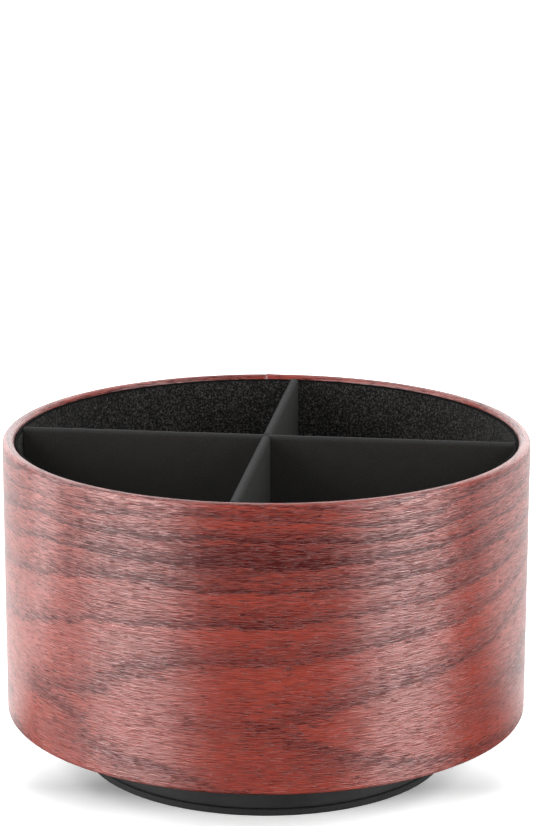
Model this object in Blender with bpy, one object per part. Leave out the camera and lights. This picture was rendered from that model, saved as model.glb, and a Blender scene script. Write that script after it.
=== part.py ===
"""A round revolving tool caddy, modelled at rest in metres with +Z up.

A leatherette-wrapped tray with crossed dividers turns about Z on a low round foot, on a ball bearing made of
two pressed plates. The origin is the middle of the underside, on the table. The cross divider lies along X
and the long divider along Y.
"""

import math

import bmesh
import bpy
from mathutils import Matrix, Vector

# Driving dimensions, in metres.
BODY_RADIUS = 0.0800
BODY_TOP = 0.1015
BODY_BOTTOM = 0.0162
RIM_WIDTH = 0.0035
RIM_ROUND = 0.0015
FOOT_RADIUS = 0.0560
FOOT_TOP = 0.0096
PAD_THICKNESS = 0.0020
SKIN = 0.0006
FELT = 0.0010
GLUE_GAP = 0.0002
RUNNING_GAP = 0.0003

# Tray.
SKIN_TURN_IN = 0.0120
SKIN_TURN_UNDER = 0.0100
SKIN_EDGE_ROUND = 0.0008
FLOOR_THICKNESS = 0.0040
LINER_DROP = 0.0010
DIVIDER_DROP = 0.0005
DIVIDER_THICKNESS = 0.0028
DIVIDER_END_GAP = 0.0003
JACKET = 0.0004
SLOT_SIDE_GAP = 0.00015

# Foot.
FOOT_EDGE_ROUND = 0.0008
FOOT_TURN_UNDER = 0.0080
PAD_EDGE_ROUND = 0.0004
ACCESS_HOLE_RADIUS = 0.0050

# Bearing.
PLATE_HALF_SIDE = 0.0380
PLATE_CORNER = 0.0080
PLATE_SHEET = 0.0008
HOLE_SPACING = 0.0650
DISH_RADIUS = 0.0130
RACE_RADIUS = 0.0260
RACE_HALF_ANGLE = 40
RACE_OUTER_SLOPE = 0.0020
BALL_RADIUS = 0.0020
BALL_COUNT = 16
CAGE_WIDTH = 0.0090
CAGE_THICKNESS = 0.0010
EYELET_BORE = 0.0039
EYELET_TUBE = 0.0048
EYELET_FLANGE = 0.0076

# Screws.
SCREW_LENGTH = 0.0055
SCREW_RADIUS = 0.0014
SCREW_ROOT = 0.0011
SCREW_RIDGES = 3
SCREW_HEAD_RADIUS = 0.0027
SCREW_HEAD_HEIGHT = 0.0015
SCREW_HOLE_RADIUS = 0.0018
RECESS_LENGTH = 0.0030
RECESS_WIDTH = 0.0007
RECESS_DEPTH = 0.0009

# How finely round shapes are divided.
BODY_SIDES = 56
FOOT_SIDES = 48
PLATE_SIDES = 40
EYELET_SIDES = 24
SMALL_SIDES = 12
WELD = 1e-6
SHARP_ANGLE = math.radians(40)

# Levels, radii and places that follow from the driving dimensions.
CORE_OUTSIDE = BODY_RADIUS - SKIN - GLUE_GAP
CORE_INSIDE = BODY_RADIUS - RIM_WIDTH + SKIN + GLUE_GAP
CORE_BOTTOM = BODY_BOTTOM + SKIN + GLUE_GAP
COVER_RADIUS = BODY_RADIUS - SKIN_TURN_UNDER - GLUE_GAP
FLOOR_TOP = CORE_BOTTOM + FLOOR_THICKNESS
FELT_BOTTOM = FLOOR_TOP + GLUE_GAP
FELT_TOP = FELT_BOTTOM + FELT
LINER_OUTSIDE = BODY_RADIUS - RIM_WIDTH - GLUE_GAP
LINER_INSIDE = LINER_OUTSIDE - FELT
DIVIDER_BOTTOM = FELT_TOP + GLUE_GAP
DIVIDER_TOP = BODY_TOP - DIVIDER_DROP
DIVIDER_MIDDLE = (DIVIDER_BOTTOM + DIVIDER_TOP) / 2
DIVIDER_HALF_LENGTH = LINER_INSIDE - DIVIDER_END_GAP
FOOT_BOTTOM = PAD_THICKNESS + GLUE_GAP
PLATE_BOTTOM = FOOT_TOP + GLUE_GAP
PLATE_TOP = BODY_BOTTOM - GLUE_GAP
RACE_LEVEL = (PLATE_BOTTOM + PLATE_TOP) / 2
RACE_GROOVE = BALL_RADIUS + RUNNING_GAP
LOWER_SCREW_LEVEL = PLATE_BOTTOM + PLATE_SHEET + GLUE_GAP
UPPER_SCREW_LEVEL = PLATE_TOP - PLATE_SHEET - GLUE_GAP
HOLE_REACH = HOLE_SPACING / 2
CORNERS = [(sx * HOLE_REACH, sy * HOLE_REACH) for sx, sy in ((1, 1), (-1, 1), (-1, -1), (1, -1))]
ACCESS_HOLE = (math.hypot(*CORNERS[0]), 0)


# Scene helpers.


def clear_scene():
    for obj in list(bpy.data.objects):
        bpy.data.objects.remove(obj)


def material(name, colour, roughness, metallic=0.0):
    made = bpy.data.materials.new(name)
    made.use_nodes = True
    shader = made.node_tree.nodes["Principled BSDF"]
    shader.inputs["Base Color"].default_value = (*colour, 1.0)
    shader.inputs["Roughness"].default_value = roughness
    shader.inputs["Metallic"].default_value = metallic
    made.diffuse_color = (*colour, 1.0)
    return made


def pivot(name, location=(0, 0, 0)):
    """An empty on a joint's axis, for the pieces that turn on it."""
    empty = bpy.data.objects.new(name, None)
    empty.location = location
    bpy.context.scene.collection.objects.link(empty)
    return empty


def placed(mesh, name, parent=None, location=(0, 0, 0)):
    """An object with the mesh, at a place in the world, under a parent."""
    obj = bpy.data.objects.new(name, mesh)
    bpy.context.scene.collection.objects.link(obj)
    obj.location = location
    if parent is not None:
        obj.parent = parent
        obj.location = Vector(location) - parent.location
    return obj


def mesh_from(bm, name, finish=None):
    """The bmesh as a mesh with its faces outwards and its gentle edges shaded smooth."""
    bmesh.ops.recalc_face_normals(bm, faces=bm.faces)
    mesh = bpy.data.meshes.new(name)
    bm.to_mesh(mesh)
    bm.free()
    mesh.shade_smooth()
    mesh.set_sharp_from_angle(angle=SHARP_ANGLE)
    if finish is not None:
        mesh.materials.append(finish)
    return mesh


def solid(bm, name, finish=None, parent=None):
    return placed(mesh_from(bm, name, finish), name, parent)


# Shapes.


def arc(centre, radius, start, end, steps=2):
    """Points (r, z) on an arc of a profile, from angle start to end in degrees."""
    angles = [math.radians(start + (end - start) * i / steps) for i in range(steps + 1)]
    return [(centre[0] + radius * math.cos(a), centre[1] + radius * math.sin(a)) for a in angles]


def turned(profile, sides):
    """A closed profile of (r, z) points spun about Z."""
    bm = bmesh.new()
    ring = [bm.verts.new((r, 0, z)) for r, z in profile]
    pairs = zip(ring, ring[1:] + ring[:1])
    edges = [bm.edges.new(pair) for pair in pairs if max(v.co.x for v in pair) > WELD]
    bmesh.ops.spin(bm, geom=ring + edges, axis=(0, 0, 1), cent=(0, 0, 0), angle=math.tau, steps=sides)
    bmesh.ops.remove_doubles(bm, verts=bm.verts, dist=WELD)
    return bm


def disc(radius, low, high, sides):
    return turned([(0, low), (radius, low), (radius, high), (0, high)], sides)


def box(low, high):
    """A box between two opposite corners."""
    low, high = Vector(low), Vector(high)
    size = Matrix.Diagonal((*(high - low), 1.0))
    bm = bmesh.new()
    bmesh.ops.create_cube(bm, size=1.0, matrix=Matrix.Translation((low + high) / 2) @ size)
    return bm


# Cutting.


def cut(target, cutter):
    """Takes the cutter out of the target. The cutter stays in the scene, out of the render."""
    cutter.hide_render = True
    cutter.display_type = "WIRE"
    boolean = target.modifiers.new("cut_" + cutter.name, "BOOLEAN")
    boolean.operation = "DIFFERENCE"
    boolean.object = cutter


def drill(target, spots, radius, low, high):
    """Round holes through the target at each (x, y), between two heights."""
    bm = bmesh.new()
    for x, y in spots:
        bmesh.ops.create_cone(
            bm,
            cap_ends=True,
            segments=SMALL_SIDES,
            radius1=radius,
            radius2=radius,
            depth=high - low,
            matrix=Matrix.Translation((x, y, (low + high) / 2)),
        )
    cut(target, solid(bm, f"{target.name}_drill_{len(target.modifiers)}"))


# The tray's pieces.


def rim_arcs(inset, steps):
    """The rim's two rounded corners, outer then inner, at a depth below the skin's outer face."""
    level = BODY_TOP - RIM_ROUND
    outer = arc((BODY_RADIUS - RIM_ROUND, level), RIM_ROUND - inset, 0, 90, steps)
    inner = arc((BODY_RADIUS - RIM_WIDTH + RIM_ROUND, level), RIM_ROUND - inset, 90, 180, steps)
    return outer + inner


def wood_grain_wrap(finish, parent):
    """The outer skin: up the wall, over the rim, and turned in at both ends."""
    edge = (BODY_RADIUS - SKIN_EDGE_ROUND, BODY_BOTTOM + SKIN_EDGE_ROUND)
    under_end = BODY_RADIUS - SKIN_TURN_UNDER
    in_end = BODY_TOP - SKIN_TURN_IN
    outside = [
        (under_end, BODY_BOTTOM),
        *arc(edge, SKIN_EDGE_ROUND, -90, 0),
        *rim_arcs(0, 2),
        (BODY_RADIUS - RIM_WIDTH, in_end),
    ]
    inside = [
        (BODY_RADIUS - RIM_WIDTH + SKIN, in_end),
        *reversed(rim_arcs(SKIN, 1)),
        *arc(edge, SKIN_EDGE_ROUND - SKIN, 0, -90, 1),
        (under_end, BODY_BOTTOM + SKIN),
    ]
    return solid(turned(outside + inside, BODY_SIDES), "wood_grain_wrap", finish, parent)


def wall_tube(finish, parent):
    profile = [(CORE_INSIDE, CORE_BOTTOM), (CORE_OUTSIDE, CORE_BOTTOM), *rim_arcs(SKIN + GLUE_GAP, 1)]
    return solid(turned(profile, BODY_SIDES), "wall_tube", finish, parent)


def wall_liner(finish, parent):
    top = BODY_TOP - LINER_DROP
    profile = [
        (LINER_INSIDE, FELT_BOTTOM),
        (LINER_OUTSIDE, FELT_BOTTOM),
        (LINER_OUTSIDE, top),
        (LINER_INSIDE, top),
    ]
    return solid(turned(profile, BODY_SIDES), "wall_liner", finish, parent)


def floor_disc(finish, parent):
    shape = disc(CORE_INSIDE - GLUE_GAP, CORE_BOTTOM, FLOOR_TOP, BODY_SIDES)
    made = solid(shape, "floor_disc", finish, parent)
    drill(made, CORNERS, SCREW_HOLE_RADIUS, BODY_BOTTOM, FELT_TOP)
    return made


def floor_felt(finish, parent):
    shape = disc(LINER_INSIDE - GLUE_GAP, FELT_BOTTOM, FELT_TOP, BODY_SIDES)
    return solid(shape, "floor_felt", finish, parent)


def underside_cover(finish, parent):
    """The black sheet inside the skin's turned-under edge."""
    shape = disc(COVER_RADIUS, BODY_BOTTOM, BODY_BOTTOM + SKIN, BODY_SIDES)
    made = solid(shape, "underside_cover", finish, parent)
    drill(made, CORNERS, SCREW_HOLE_RADIUS, PLATE_TOP, FLOOR_TOP)
    return made


def divider(name, slot, board_finish, felt_finish, parent):
    """A board along X in a felt jacket open at the bottom. Both are slotted from slot[0] to slot[1].

    Returns the board and its jacket.
    """
    half = DIVIDER_THICKNESS / 2
    hollow = (DIVIDER_HALF_LENGTH - JACKET, half - JACKET, DIVIDER_TOP - JACKET)
    core = [side - GLUE_GAP for side in hollow]

    board_shape = box((-core[0], -core[1], DIVIDER_BOTTOM), core)
    board = solid(board_shape, name + "_board", board_finish, parent)

    shape = box((-DIVIDER_HALF_LENGTH, -half, DIVIDER_BOTTOM), (DIVIDER_HALF_LENGTH, half, DIVIDER_TOP))
    top_edges = [e for e in shape.edges if min(v.co.z for v in e.verts) > DIVIDER_TOP - WELD]
    bmesh.ops.bevel(shape, geom=top_edges, offset=JACKET, segments=1, affect="EDGES")
    jacket = solid(shape, name + "_felt", felt_finish, parent)
    cut(jacket, solid(box((-hollow[0], -hollow[1], FLOOR_TOP), hollow), name + "_hollow"))

    slot_half = half + SLOT_SIDE_GAP
    slot_box = box((-slot_half, -2 * half, slot[0]), (slot_half, 2 * half, slot[1]))
    slot_shape = solid(slot_box, name + "_slot")
    cut(board, slot_shape)
    cut(jacket, slot_shape)
    return [board, jacket]


def cross_divider(board_finish, felt_finish, parent):
    """The divider along X. It is slotted at the bottom, so its top runs unbroken."""
    slot = (FLOOR_TOP, DIVIDER_MIDDLE + GLUE_GAP)
    return divider("cross_divider", slot, board_finish, felt_finish, parent)


def long_divider(board_finish, felt_finish, parent):
    """The divider along Y. It is slotted at the top."""
    slot = (DIVIDER_MIDDLE - GLUE_GAP, BODY_TOP)
    pieces = divider("long_divider", slot, board_finish, felt_finish, parent)
    cutters = {modifier.object for piece in pieces for modifier in piece.modifiers}
    for obj in [*pieces, *cutters]:
        obj.rotation_euler.z = math.pi / 2
    return pieces


# The foot's pieces.


def anti_slip_pad(finish, parent):
    edge = PAD_EDGE_ROUND
    profile = [
        (0, 0),
        (FOOT_RADIUS, 0),
        *arc((FOOT_RADIUS - edge, PAD_THICKNESS - edge), edge, 0, 90),
        (0, PAD_THICKNESS),
    ]
    return solid(turned(profile, FOOT_SIDES), "anti_slip_pad", finish, parent)


def foot_disc(finish, parent):
    inset = SKIN + GLUE_GAP
    shape = disc(FOOT_RADIUS - inset, FOOT_BOTTOM + inset, FOOT_TOP - inset, FOOT_SIDES)
    made = solid(shape, "foot_disc", finish, parent)
    drill(made, CORNERS, SCREW_HOLE_RADIUS, 0, PLATE_BOTTOM)
    drill(made, [ACCESS_HOLE], ACCESS_HOLE_RADIUS, 0, PLATE_BOTTOM)
    return made


def foot_wrap(finish, parent):
    """Leatherette over the top and side of the foot, turned under it."""
    edge = FOOT_EDGE_ROUND
    upper = (FOOT_RADIUS - edge, FOOT_TOP - edge)
    lower = (FOOT_RADIUS - edge, FOOT_BOTTOM + edge)
    under_end = FOOT_RADIUS - FOOT_TURN_UNDER
    outside = [(under_end, FOOT_BOTTOM), *arc(lower, edge, -90, 0), *arc(upper, edge, 0, 90), (0, FOOT_TOP)]
    inside = [
        (0, FOOT_TOP - SKIN),
        *arc(upper, edge - SKIN, 90, 0, 1),
        *arc(lower, edge - SKIN, 0, -90, 1),
        (under_end, FOOT_BOTTOM + SKIN),
    ]
    made = solid(turned(outside + inside, FOOT_SIDES), "foot_wrap", finish, parent)
    top_sheet = (FOOT_TOP - 2 * SKIN, PLATE_BOTTOM)
    drill(made, CORNERS, SCREW_HOLE_RADIUS, *top_sheet)
    drill(made, [ACCESS_HOLE], ACCESS_HOLE_RADIUS, *top_sheet)
    return made


# The bearing's pieces.


def rounded_square_reach(angle):
    """How far the plate's edge is from its centre, in one direction."""
    far, near = sorted((abs(math.cos(angle)), abs(math.sin(angle))), reverse=True)
    to_side = PLATE_HALF_SIDE / far
    corner = PLATE_HALF_SIDE - PLATE_CORNER
    if to_side * near <= corner:
        return to_side
    along = corner * (far + near)
    return along + math.sqrt(along**2 - 2 * corner**2 + PLATE_CORNER**2)


def plate_face():
    """The lower plate's upper face as (r, z): a dished middle, the ball race, and a flat border."""
    dish = RACE_LEVEL - RUNNING_GAP
    border = PLATE_BOTTOM + PLATE_SHEET
    race = arc((RACE_RADIUS, RACE_LEVEL), RACE_GROOVE, -90 - RACE_HALF_ANGLE, -90 + RACE_HALF_ANGLE)
    return [
        (EYELET_TUBE + RUNNING_GAP, dish),
        (DISH_RADIUS, dish),
        (RACE_RADIUS - CAGE_WIDTH / 2 - PLATE_SHEET, race[0][1]),
        *race,
        (race[-1][0] + RACE_OUTER_SLOPE, border),
        (PLATE_HALF_SIDE, border),
    ]


def bearing_plate(name, upside_down, finish, parent):
    """A pressed plate, turned round and then drawn out to a square with rounded corners."""
    face = plate_face()
    back = [(r, z - PLATE_SHEET) for r, z in face]
    bm = turned(face + back[::-1], PLATE_SIDES)
    for vert in bm.verts:
        if vert.co.xy.length > PLATE_HALF_SIDE - WELD:
            reach = rounded_square_reach(math.atan2(vert.co.y, vert.co.x))
            vert.co.xy = vert.co.xy.normalized() * reach
        if upside_down:
            vert.co.z = 2 * RACE_LEVEL - vert.co.z
    made = solid(bm, name, finish, parent)
    drill(made, CORNERS, SCREW_HOLE_RADIUS, FOOT_BOTTOM, FLOOR_TOP)
    return made


def ball_angles():
    return [math.tau * i / BALL_COUNT for i in range(BALL_COUNT)]


def ball_cage(finish, parent):
    inside, outside = RACE_RADIUS - CAGE_WIDTH / 2, RACE_RADIUS + CAGE_WIDTH / 2
    low, high = RACE_LEVEL - CAGE_THICKNESS / 2, RACE_LEVEL + CAGE_THICKNESS / 2
    ring = turned([(inside, low), (outside, low), (outside, high), (inside, high)], PLATE_SIDES)
    made = solid(ring, "ball_cage", finish, parent)
    spots = [(RACE_RADIUS * math.cos(a), RACE_RADIUS * math.sin(a)) for a in ball_angles()]
    drill(made, spots, RACE_GROOVE, low - CAGE_THICKNESS, high + CAGE_THICKNESS)
    return made


def balls(finish, parent):
    """The bearing balls, each with its X axis pointing away from the middle."""
    bm = bmesh.new()
    bmesh.ops.create_icosphere(bm, subdivisions=2, radius=BALL_RADIUS)
    mesh = mesh_from(bm, "ball", finish)
    made = []
    for number, angle in enumerate(ball_angles(), start=1):
        centre = (RACE_RADIUS * math.cos(angle), RACE_RADIUS * math.sin(angle), RACE_LEVEL)
        ball = placed(mesh, f"ball_{number:02d}", parent, centre)
        ball.rotation_euler.z = angle
        made.append(ball)
    return made


def bearing_eyelet(finish, parent):
    """A tubular rivet whose two flanges hold the dished middles of the plates together."""
    grip = RUNNING_GAP + PLATE_SHEET + GLUE_GAP
    low, high = RACE_LEVEL - grip, RACE_LEVEL + grip
    profile = [
        (EYELET_BORE, low - PLATE_SHEET),
        (EYELET_FLANGE, low - PLATE_SHEET),
        (EYELET_FLANGE, low),
        (EYELET_TUBE, low),
        (EYELET_TUBE, high),
        (EYELET_FLANGE, high),
        (EYELET_FLANGE, high + PLATE_SHEET),
        (EYELET_BORE, high + PLATE_SHEET),
    ]
    return solid(turned(profile, EYELET_SIDES), "bearing_eyelet", finish, parent)


# Screws.


def screw_profile():
    """A pan head on z = 0 with a ridged shank below it, as (r, z)."""
    pitch = SCREW_LENGTH / (SCREW_RIDGES + 1)
    ridges = []
    for number in range(SCREW_RIDGES):
        top = -pitch * (number + 0.25)
        ridges += [(SCREW_ROOT, top), (SCREW_RADIUS, top - pitch / 2)]
    return [
        (0, SCREW_HEAD_HEIGHT),
        (SCREW_HEAD_RADIUS * 0.75, SCREW_HEAD_HEIGHT * 0.9),
        (SCREW_HEAD_RADIUS, SCREW_HEAD_HEIGHT * 0.3),
        (SCREW_HEAD_RADIUS, 0),
        *ridges,
        (SCREW_ROOT, -pitch * (SCREW_RIDGES + 0.25)),
        (0, -SCREW_LENGTH),
    ]


def screw_recess():
    """A cross, as one closed body, for cutting into a screw's head."""
    arm, half = RECESS_LENGTH / 2, RECESS_WIDTH / 2
    corner = [(arm, -half), (arm, half), (half, half)]
    turns = [Matrix.Rotation(math.pi / 2 * quarter, 2) for quarter in range(4)]
    outline = [turn @ Vector(point) for turn in turns for point in corner]
    bm = bmesh.new()
    base = bm.faces.new([bm.verts.new((x, y, SCREW_HEAD_HEIGHT - RECESS_DEPTH)) for x, y in outline])
    raised = bmesh.ops.extrude_face_region(bm, geom=[base])["geom"]
    top = [item for item in raised if isinstance(item, bmesh.types.BMVert)]
    bmesh.ops.translate(bm, verts=top, vec=(0, 0, 2 * RECESS_DEPTH))
    return bm


def screws(name, level, head_down, finish, parent):
    """Four screws at the plate's corners, with their heads on one level."""
    mesh = mesh_from(turned(screw_profile(), SMALL_SIDES), name, finish)
    cross = mesh_from(screw_recess(), name + "_recess")
    made = []
    for number, (x, y) in enumerate(CORNERS, start=1):
        screw = placed(mesh, f"{name}_{number}", parent, (x, y, level))
        recess = placed(cross, f"{name}_recess_{number}", location=(x, y, level))
        for obj in (screw, recess):
            obj.rotation_euler.x = math.pi if head_down else 0
        cut(screw, recess)
        made.append(screw)
    return made


def build():
    clear_scene()
    leatherette = material("wood_grain_leatherette", (0.36, 0.10, 0.075), 0.42)
    black_leatherette = material("black_leatherette", (0.028, 0.028, 0.028), 0.55)
    felt = material("black_felt", (0.020, 0.019, 0.018), 0.95)
    board = material("board", (0.32, 0.25, 0.17), 0.85)
    rubber = material("pad_rubber", (0.03, 0.03, 0.03), 0.75)
    zinc = material("zinc_plated_steel", (0.62, 0.62, 0.60), 0.35, 1.0)
    steel = material("bearing_steel", (0.75, 0.75, 0.76), 0.12, 1.0)
    nylon = material("white_nylon", (0.75, 0.74, 0.70), 0.45)

    foot = pivot("foot")
    anti_slip_pad(rubber, foot)
    foot_disc(board, foot)
    foot_wrap(black_leatherette, foot)
    bearing_plate("bearing_lower_plate", False, zinc, foot)
    bearing_eyelet(zinc, foot)
    screws("lower_screw", LOWER_SCREW_LEVEL, False, zinc, foot)

    ball_ring = pivot("ball_ring", (0, 0, RACE_LEVEL))
    ball_cage(nylon, ball_ring)
    balls(steel, ball_ring)

    tray = pivot("tray")
    bearing_plate("bearing_upper_plate", True, zinc, tray)
    screws("upper_screw", UPPER_SCREW_LEVEL, True, zinc, tray)
    underside_cover(black_leatherette, tray)
    floor_disc(board, tray)
    wall_tube(board, tray)
    wood_grain_wrap(leatherette, tray)
    wall_liner(felt, tray)
    floor_felt(felt, tray)
    cross_divider(board, felt, tray)
    long_divider(board, felt, tray)


build()
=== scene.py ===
"""The looks of a round revolving tool caddy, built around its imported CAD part. Metres, +Z up.

The tray's skin, its flocked inside, the dividers, the foot and the bearing are modelled here as fine meshes.
The boards inside them keep their CAD shapes.
"""

import math

import bmesh
import bpy
import numpy as np
from mathutils import Matrix, Vector, noise


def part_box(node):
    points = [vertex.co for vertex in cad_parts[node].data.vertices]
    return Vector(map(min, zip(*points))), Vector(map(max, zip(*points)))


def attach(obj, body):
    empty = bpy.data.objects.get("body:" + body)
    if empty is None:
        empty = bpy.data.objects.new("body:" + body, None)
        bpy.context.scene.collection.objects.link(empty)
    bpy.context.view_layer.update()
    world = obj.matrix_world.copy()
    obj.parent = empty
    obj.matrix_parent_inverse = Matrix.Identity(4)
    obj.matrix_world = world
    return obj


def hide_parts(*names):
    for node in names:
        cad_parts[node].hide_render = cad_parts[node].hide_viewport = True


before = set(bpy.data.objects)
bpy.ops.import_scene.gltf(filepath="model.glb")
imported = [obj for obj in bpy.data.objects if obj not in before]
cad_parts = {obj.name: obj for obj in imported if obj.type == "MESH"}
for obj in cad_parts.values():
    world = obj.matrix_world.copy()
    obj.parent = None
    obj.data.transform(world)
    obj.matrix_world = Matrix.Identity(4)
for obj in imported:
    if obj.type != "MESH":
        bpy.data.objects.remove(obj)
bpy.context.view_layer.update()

MM = 0.001
TAU = math.tau


def centre_of(node):
    return sum(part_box(node), Vector()) / 2


# Where the viewer stands. FRONT is the angle about Z of the side that faces the viewer.
VIEW_TURN = math.radians(7.0)
FRONT = -math.pi / 2 + VIEW_TURN
VIEW_PITCH = math.radians(13.97)
VIEW_ROLL = math.radians(0.11)
VIEW_DISTANCE = 789.6 * MM
VIEW_HEIGHT = 304.2 * MM
LENS = 116.9

# Radii and levels from the CAD.
BODY_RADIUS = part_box("wood_grain_wrap")[1].x
BODY_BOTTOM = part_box("wood_grain_wrap")[0].z
BODY_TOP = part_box("wood_grain_wrap")[1].z
LINER_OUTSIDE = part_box("wall_liner")[1].x
LINER_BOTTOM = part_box("wall_liner")[0].z
LINER_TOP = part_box("wall_liner")[1].z
FELT_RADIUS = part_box("floor_felt")[1].x
FELT_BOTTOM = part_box("floor_felt")[0].z
FELT_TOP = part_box("floor_felt")[1].z
COVER_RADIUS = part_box("underside_cover")[1].x
FOOT_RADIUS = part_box("foot_wrap")[1].x
FOOT_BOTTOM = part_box("foot_wrap")[0].z
FOOT_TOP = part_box("foot_wrap")[1].z
PAD_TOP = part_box("anti_slip_pad")[1].z
DIVIDER_HALF_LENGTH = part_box("cross_divider_felt")[1].x
DIVIDER_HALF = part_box("cross_divider_felt")[1].y
DIVIDER_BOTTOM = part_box("cross_divider_felt")[0].z
DIVIDER_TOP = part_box("cross_divider_felt")[1].z
PLATE_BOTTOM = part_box("bearing_lower_plate")[0].z
PLATE_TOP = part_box("bearing_upper_plate")[1].z
PLATE_HALF_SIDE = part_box("bearing_lower_plate")[1].x
RACE_LEVEL = (PLATE_BOTTOM + PLATE_TOP) / 2
CORNER_SCREW = centre_of("lower_screw_1")
BALLS = [f"ball_{number:02d}" for number in range(1, 17)]
BALL_RADIUS = (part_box("ball_01")[1].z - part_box("ball_01")[0].z) / 2

# Sheet goods and small features.
SKIN = 0.6 * MM
FELT = 1.0 * MM
RIM_WIDTH = 3.5 * MM
RIM_ROUND = 1.5 * MM
EDGE_ROUND = 0.8 * MM
TURN_IN = 12 * MM
TURN_UNDER = 10 * MM
FOOT_TURN_UNDER = 8 * MM
SEAM_LAP = 0.22 * MM
SEAM_FADE = 7 * MM
SEAM_GAP = 0.2 * MM
JACKET = 0.4 * MM
GLUE_GAP = 0.2 * MM
SLOT_SIDE_GAP = 0.15 * MM

# The bearing and its screws.
SHEET_METAL = 0.8 * MM
RUNNING_GAP = 0.3 * MM
RACE_RADIUS = 26 * MM
RACE_HALF_ANGLE = 40
RACE_SHOULDER = 2 * MM
DISH_RADIUS = 13 * MM
PLATE_CORNER = 8 * MM
EYELET_BORE = 3.9 * MM
EYELET_TUBE = 4.8 * MM
EYELET_OVERLAP = 2.5 * MM
CAGE_WIDTH = 9 * MM
CAGE_POCKET = 2.3 * MM
SCREW_HOLE = 1.8 * MM
SCREW_PITCH = 1.1 * MM
SCREW_HEAD_HEIGHT = 1.5 * MM
ACCESS_HOLE = 5.0 * MM

# How many columns each mesh has round the axis, or along the divider.
WRAP_COLUMNS = 460
LINER_COLUMNS = 620
FELT_COLUMNS = 360
COVER_COLUMNS = 180
DIVIDER_COLUMNS = 121
FOOT_COLUMNS = 320
PAD_COLUMNS = 300
PLATE_COLUMNS = 128
EYELET_COLUMNS = 64
CAGE_COLUMNS = 192
SCREW_COLUMNS = 32


# Meshes.


def arc(centre, radius, start, end, steps):
    """Points (r, z) along an arc, from angle start to end in degrees."""
    angles = np.radians(np.linspace(start, end, steps + 1))
    return [(centre[0] + radius * math.cos(a), centre[1] + radius * math.sin(a)) for a in angles]


def line(start, end, steps):
    """Points (r, z) between two points, without the points themselves."""
    shares = np.arange(1, steps) / steps
    return [tuple(np.add(np.multiply(start, 1 - s), np.multiply(end, s))) for s in shares]


def joined(*runs, spacing):
    """One profile from several runs of points, with the straight gaps between them filled at a spacing."""
    profile = list(runs[0])
    for run in runs[1:]:
        gap = math.dist(profile[-1], run[0])
        profile += line(profile[-1], run[0], max(1, round(gap / spacing))) + list(run)
    return profile


def lengths_along(profile):
    """The distance travelled along a profile at each of its points, with one more to close it."""
    points = np.array([*profile, profile[0]])
    return np.concatenate([[0], np.cumsum(np.linalg.norm(np.diff(points, axis=0), axis=1))])


def profile_normals(profile):
    """The outward direction at each point of a closed profile that runs anticlockwise."""
    points = np.array(profile)
    run = np.roll(points, -1, axis=0) - np.roll(points, 1, axis=0)
    normals = np.stack([run[:, 1], -run[:, 0]], axis=1)
    return normals / np.maximum(np.linalg.norm(normals, axis=1, keepdims=True), 1e-12)


def around(count):
    return np.arange(count) * TAU / count


def revolved(profile, angles, lift=None):
    """Points[row, column] of a profile turned about Z. lift pushes them out along the profile's normals."""
    radii, heights = np.array(profile).T[:, :, None]
    if lift is not None:
        out = profile_normals(profile)
        radii = np.where(radii > 0, radii + lift * out[:, :1], 0)
        heights = heights + lift * out[:, 1:]
    return np.stack([radii * np.cos(angles), radii * np.sin(angles), heights + 0 * angles], axis=2)


def grid_mesh(name, points, along, up, wrap_columns=True):
    """A mesh over points[row, column]. "sheet" holds each corner's place on the flat sheet, in millimetres.

    The rows wrap, so up has one more entry than there are rows. So has along, where the columns wrap.
    """
    rows, columns = points.shape[:2]
    face_columns = columns if wrap_columns else columns - 1
    row, column = np.divmod(np.arange(rows * face_columns), face_columns)
    next_row, next_column = (row + 1) % rows, (column + 1) % columns
    faces = np.stack(
        [
            row * columns + column,
            row * columns + next_column,
            next_row * columns + next_column,
            next_row * columns + column,
        ],
        axis=1,
    )
    mesh = bpy.data.meshes.new(name)
    mesh.from_pydata(points.reshape(-1, 3).tolist(), [], faces.tolist())
    along_corners = np.stack([along[column], along[column + 1], along[column + 1], along[column]], axis=1)
    up_corners = np.stack([up[row], up[row], up[row + 1], up[row + 1]], axis=1)
    corners = np.stack([along_corners, up_corners, 0 * up_corners], axis=2) / MM
    sheet = mesh.attributes.new("sheet", "FLOAT_VECTOR", "CORNER")
    sheet.data.foreach_set("vector", corners.astype(np.float32).ravel())
    mesh.shade_smooth()
    return mesh


def turned_mesh(name, profile, columns, lift=None):
    """A closed ring or disc: the profile turned about Z, with points on the axis joined up."""
    angles = around(columns)
    along = np.append(angles, TAU) * max(r for r, _ in profile)
    mesh = grid_mesh(name, revolved(profile, angles, lift), along, lengths_along(profile))
    bm = bmesh.new()
    bm.from_mesh(mesh)
    bmesh.ops.remove_doubles(bm, verts=bm.verts, dist=1e-8)
    bm.to_mesh(mesh)
    bm.free()
    return mesh


def placed(mesh, material):
    obj = bpy.data.objects.new(mesh.name, mesh)
    bpy.context.scene.collection.objects.link(obj)
    obj.data.materials.clear()
    obj.data.materials.append(material)
    return obj


def piece(mesh, material, body, slot, *nodes):
    """A visible piece: it rides on a body, stands for CAD nodes, and takes the given material. Its slot is
    not used.
    """
    obj = placed(mesh, material)
    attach(obj, body)
    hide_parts(*nodes)
    return obj


def ripples(along, up, stretch, size, seed):
    """Smooth noise from -1 to 1 at each (row, column) of a sheet, stretched along it. Sizes are in metres."""
    values = [[noise.noise(Vector((a / (size * stretch), u / size, seed))) for a in along] for u in up]
    return np.array(values)


def bumps(points, size, seed, octaves):
    """Smooth noise from about -1 to 1 at points[row, column] in space."""
    flat = points.reshape(-1, 3) / size + seed
    values = [noise.fractal(Vector(p), 1.0, 2.0, octaves) for p in flat]
    return np.array(values).reshape(points.shape[:2])


# Cutting.


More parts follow.
